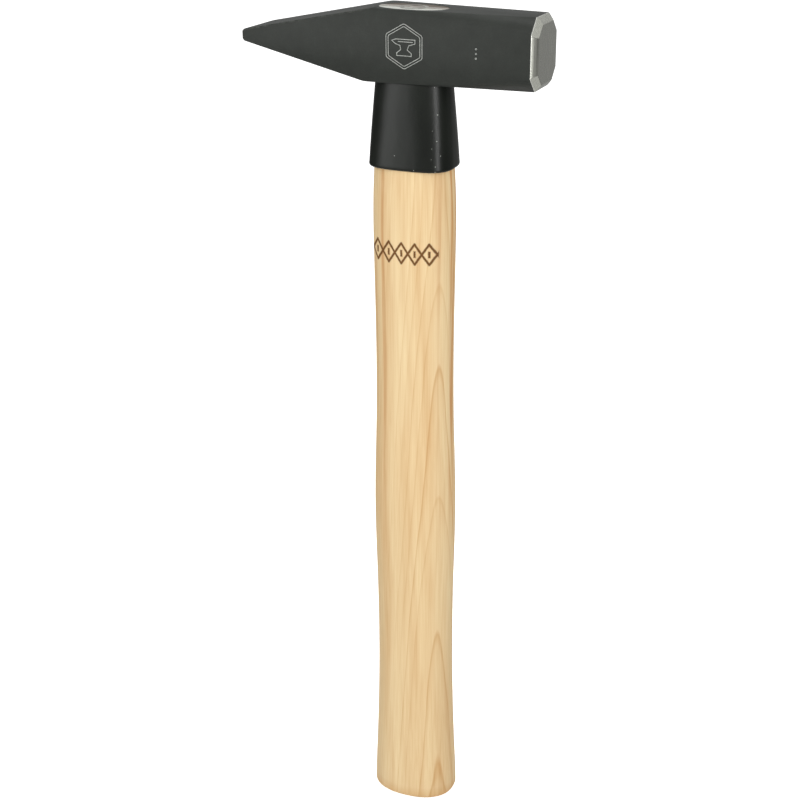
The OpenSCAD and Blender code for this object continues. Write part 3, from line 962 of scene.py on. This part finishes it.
def studio_air():
    """Soft light from all round, bright overhead, with darker stretches that keep gloss deep."""
    world = bpy.data.worlds.new("studio_air")
    world.use_nodes = True
    world.node_tree.nodes.clear()
    place = add(world, "ShaderNodeTexCoord").outputs["Generated"]
    toward = add(world, "ShaderNodeSeparateXYZ", {"Vector": place})
    # From straight down to straight up: a pale floor, a dark band above it, then paler again
    lift = add(world, "ShaderNodeMapRange", {"Value": toward.outputs["Z"]},
               **{"From Min": -1.0, "From Max": 1.0})
    fade = add(world, "ShaderNodeValToRGB", {"Fac": lift})
    ramp_stops(fade, [(0.12, grey(0.9)), (0.24, grey(0.50)), (0.30, grey(0.05)), (0.36, grey(0.08)),
                      (0.43, grey(0.45)), (0.56, grey(0.50)), (0.70, grey(0.82)), (1.0, grey(0.82))])
    # Behind, a pale sweep, darker low down towards both sides
    across = add(world, "ShaderNodeMapRange", {"Value": toward.outputs["X"]},
                 **{"From Min": -1.0, "From Max": 1.0})
    lower = add(world, "ShaderNodeValToRGB", {"Fac": across})
    ramp_stops(lower, [(0.24, grey(0.05)), (0.33, grey(0.40)), (0.64, grey(0.36)), (0.74, grey(0.03))])
    raised = add(world, "ShaderNodeMapRange", {"Value": toward.outputs["Z"]},
                 **{"From Min": -0.05, "From Max": 0.10})
    sweep = add(world, "ShaderNodeMix", {"Factor": raised, 6: lower}, data_type="RGBA", i7=grey(0.55))
    behind = add(world, "ShaderNodeMapRange", {"Value": toward.outputs["Y"]},
                 **{"From Min": 0.62, "From Max": 0.80})
    swept = add(world, "ShaderNodeMix", {"Factor": behind, 6: fade, 7: sweep.outputs[2]},
                data_type="RGBA")
    # A dark flag stands on each side, up to a little above the horizon
    aside = add(world, "ShaderNodeMath", {0: toward.outputs["X"]}, operation="ABSOLUTE")
    flag = add(world, "ShaderNodeMapRange", {"Value": aside},
               **{"From Min": 0.70, "From Max": 0.86, "To Min": 1.0, "To Max": 0.25})
    over = add(world, "ShaderNodeMapRange", {"Value": toward.outputs["Z"]},
               **{"From Min": 0.10, "From Max": 0.32, "To Max": 1.4})
    clear = add(world, "ShaderNodeMath", {0: flag, 1: over}, operation="MAXIMUM")
    dimmed = add(world, "ShaderNodeMix", {"Factor": clear, 7: swept.outputs[2]}, clamp_factor=True,
                 data_type="RGBA", i6=grey(0.0))
    air = add(world, "ShaderNodeBackground", {"Color": dimmed.outputs[2]})
    add(world, "ShaderNodeOutputWorld", {"Surface": air})
    return world


def soft_box(scene, name, place, target, size, power):
    """A rectangular area light that points at target."""
    light = bpy.data.lights.new(name, "AREA")
    light.shape = "RECTANGLE"
    light.size, light.size_y = size
    light.energy = power
    lamp = bpy.data.objects.new(name, light)
    lamp.location = place
    lamp.visible_camera = False
    lamp.rotation_euler = (Vector(target) - Vector(place)).to_track_quat("-Z", "Y").to_euler()
    scene.collection.objects.link(lamp)
    return lamp


class HAMMER_PT_panel(bpy.types.Panel):
    """Builds the hammer piece by piece"""
    bl_idname = "HAMMER_PT_panel"
    bl_label = "Cross-peen hammer"
    bl_space_type = "VIEW_3D"
    bl_region_type = "UI"
    bl_category = "Hammer"

    def draw(self, context):
        layout = self.layout
        for made in OPERATORS:
            layout.operator(made.bl_idname)
        for group in (context.scene.hammer_sizes, context.scene.hammer_colours):
            for name in group.__annotations__:
                layout.prop(group, name)


OPERATORS = (HAMMER_OT_stage, HAMMER_OT_head, HAMMER_OT_cheek_mark, HAMMER_OT_handle,
             HAMMER_OT_neck_sleeve, HAMMER_OT_wedges)
CLASSES = (HammerSizes, HammerColours, *OPERATORS, HAMMER_PT_panel)


def register():
    for made in CLASSES:
        bpy.utils.register_class(made)
    bpy.types.Scene.hammer_sizes = PointerProperty(type=HammerSizes)
    bpy.types.Scene.hammer_colours = PointerProperty(type=HammerColours)


def unregister():
    del bpy.types.Scene.hammer_colours
    del bpy.types.Scene.hammer_sizes
    for made in reversed(CLASSES):
        bpy.utils.unregister_class(made)


def main():
    register()
    bpy.ops.hammer.stage()
    bpy.ops.hammer.head()
    bpy.ops.hammer.cheek_mark()
    bpy.ops.hammer.handle()
    bpy.ops.hammer.neck_sleeve()
    bpy.ops.hammer.wedges()


if __name__ == "__main__":
    main()
